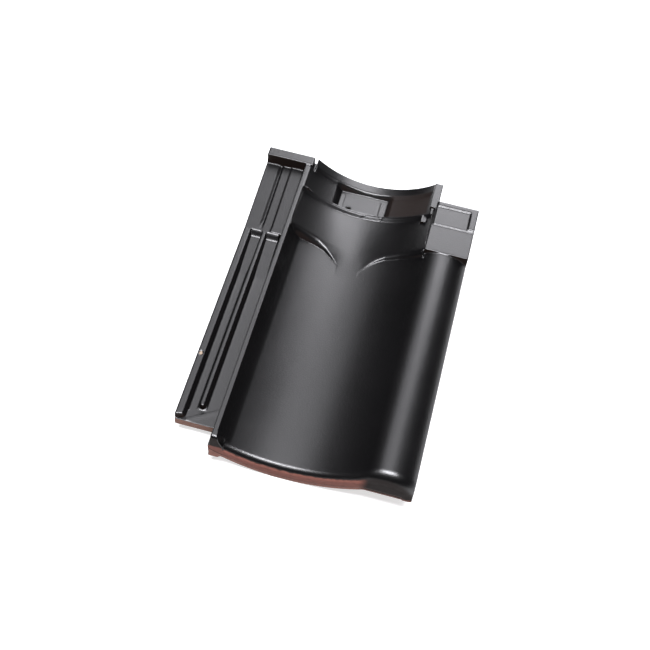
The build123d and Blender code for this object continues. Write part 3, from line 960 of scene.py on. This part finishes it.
def bare_mask(t):
    """1 where no glaze covers the clay."""
    on_nose = t.soft(t.y, *NOSE_DEPTH)
    under_corner = t.soft(t.calc("ADD", t.z, t.wander), *RIM_CORNER_TOP)
    below_rim = t.calc("MAXIMUM", under_corner, t.soft(t.x, *RIM_CORNER_RIGHT))
    nose_part = t.product(on_nose, t.soft(t.x, *NOSE_RIGHT), below_rim)
    ragged_z = t.calc("ADD", t.z, t.calc("MULTIPLY", t.wander, ROLL_RAGGED))
    under_roll = t.product(t.soft(t.x, *ROLL_LEFT), t.soft(ragged_z, *ROLL_TOP))
    roll_part = t.product(on_nose, under_roll, ROLL_BARE)
    flange_part = t.product(
        t.soft(t.y, *FLANGE_FRONT), t.soft(t.y, *FLANGE_BACK), t.soft(t.z, *FLANGE_TOP)
    )
    any_part = t.calc("MAXIMUM", t.calc("MAXIMUM", nose_part, roll_part), flange_part)
    footward = t.calc("MULTIPLY", t.facing[1], -1)
    towards_foot = t.calc("SUBTRACT", footward, t.calc("MULTIPLY", t.wander, FOOT_RAGGED))
    at_foot = t.product(t.soft(towards_foot, *FACES_FOOT), any_part)
    return t.calc("MAXIMUM", at_foot, t.soft(t.facing[2], *FACES_DOWN))


print("bare share of the roll's lower edge:", ROLL_BARE)


# %% [markdown]
# ## Fresh clay in the chip
#
# The chip on the outer rib is a small glossy nick. The highlight on it is painted into the
# dent as a lighter, yellower colour than the foot, and the painted part is made matt. Its
# mask has the same middle and the same reach as the dent in the body.

# %% Mask the chip
# painted highlight of the nick: a lighter, yellowish tan
CHIP_PAINTED_HIGHLIGHT = (0.24, 0.19, 0.145, 1)
CHIP_EDGE, CHIP_RAGGED = (0.80, 0.60), 0.5
CHIP_BOTTOM = (CHIP_Z - 4, CHIP_Z - 2.5)


def chip_highlight_mask(t):
    """1 in the chip, where its highlight is painted, by the distance from its middle."""
    across = t.calc("DIVIDE", t.calc("SUBTRACT", t.x, CHIP_X), CHIP_ACROSS)
    along_rib = t.calc("DIVIDE", t.calc("SUBTRACT", t.y, CHIP_Y), CHIP_ALONG)
    squares = t.calc("ADD", t.product(across, across), t.product(along_rib, along_rib))
    apart = t.calc("ADD", t.calc("SQRT", squares), t.calc("MULTIPLY", t.wander, CHIP_RAGGED))
    return t.product(t.soft(apart, *CHIP_EDGE), t.soft(t.z, *CHIP_BOTTOM))


print("chip, mm:", CHIP_ACROSS, "by", CHIP_ALONG)


# %% [markdown]
# ## One material for the whole tile
#
# A Principled shader takes the blended colour. Where the coat is full it is satin, and
# where it is thin or missing it is nearly matt. A fine bump adds the grain that a sprayed
# glaze keeps after firing.

# %% Mix the finish
GLASS_IOR = 1.5
SHINE_DULL, SHINE_FULL = 0.06, 0.5
ROUGH_LEAST, ROUGH_MOST, ROUGH_DULL = 0.265, 0.335, 0.35
GRAIN_SCALE, GRAIN_DETAIL, GRAIN_STRENGTH, GRAIN_HEIGHT = 700, 3, 0.35, 0.3 * MM


def glaze_material():
    """Glaze, thin coat and bare clay in one shader."""
    material, tree = node_material("black_glazed_clay")
    new, link = tree.nodes.new, tree.links.new
    t = mask_tools(tree)
    read_place(t)
    out = new("ShaderNodeOutputMaterial")
    finish = new("ShaderNodeBsdfPrincipled")
    finish.inputs["IOR"].default_value = GLASS_IOR

    coat = coat_mask(t)
    # the chip's mask places a painted highlight, lighter and matt, in the nick
    chip = chip_highlight_mask(t)
    bare = t.calc("MAXIMUM", bare_mask(t), chip)
    clay = t.blend(chip, clay_colour(t), CHIP_PAINTED_HIGHLIGHT)
    link(t.blend(bare, glaze_colour(t, coat), clay), finish.inputs["Base Color"])

    sheen = t.product(coat, t.calc("SUBTRACT", 1, bare))
    link(t.level(sheen, SHINE_DULL, SHINE_FULL), finish.inputs["Specular IOR Level"])
    dull = t.product(t.calc("SUBTRACT", 1, sheen), ROUGH_DULL)
    link(t.calc("ADD", t.level(t.cloud, ROUGH_LEAST, ROUGH_MOST), dull), finish.inputs["Roughness"])

    bump = new("ShaderNodeBump")
    bump.inputs["Strength"].default_value = GRAIN_STRENGTH
    bump.inputs["Distance"].default_value = GRAIN_HEIGHT
    link(clouds(t, GRAIN_SCALE, GRAIN_DETAIL), bump.inputs["Height"])
    link(bump.outputs["Normal"], finish.inputs["Normal"])
    link(finish.outputs[0], out.inputs["Surface"])
    return material


body.data.materials.append(glaze_material())
print("finish:", body.data.materials[0].name)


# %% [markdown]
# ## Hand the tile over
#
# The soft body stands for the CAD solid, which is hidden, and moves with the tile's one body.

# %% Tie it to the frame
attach(body, "root")
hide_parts("roof_tile")
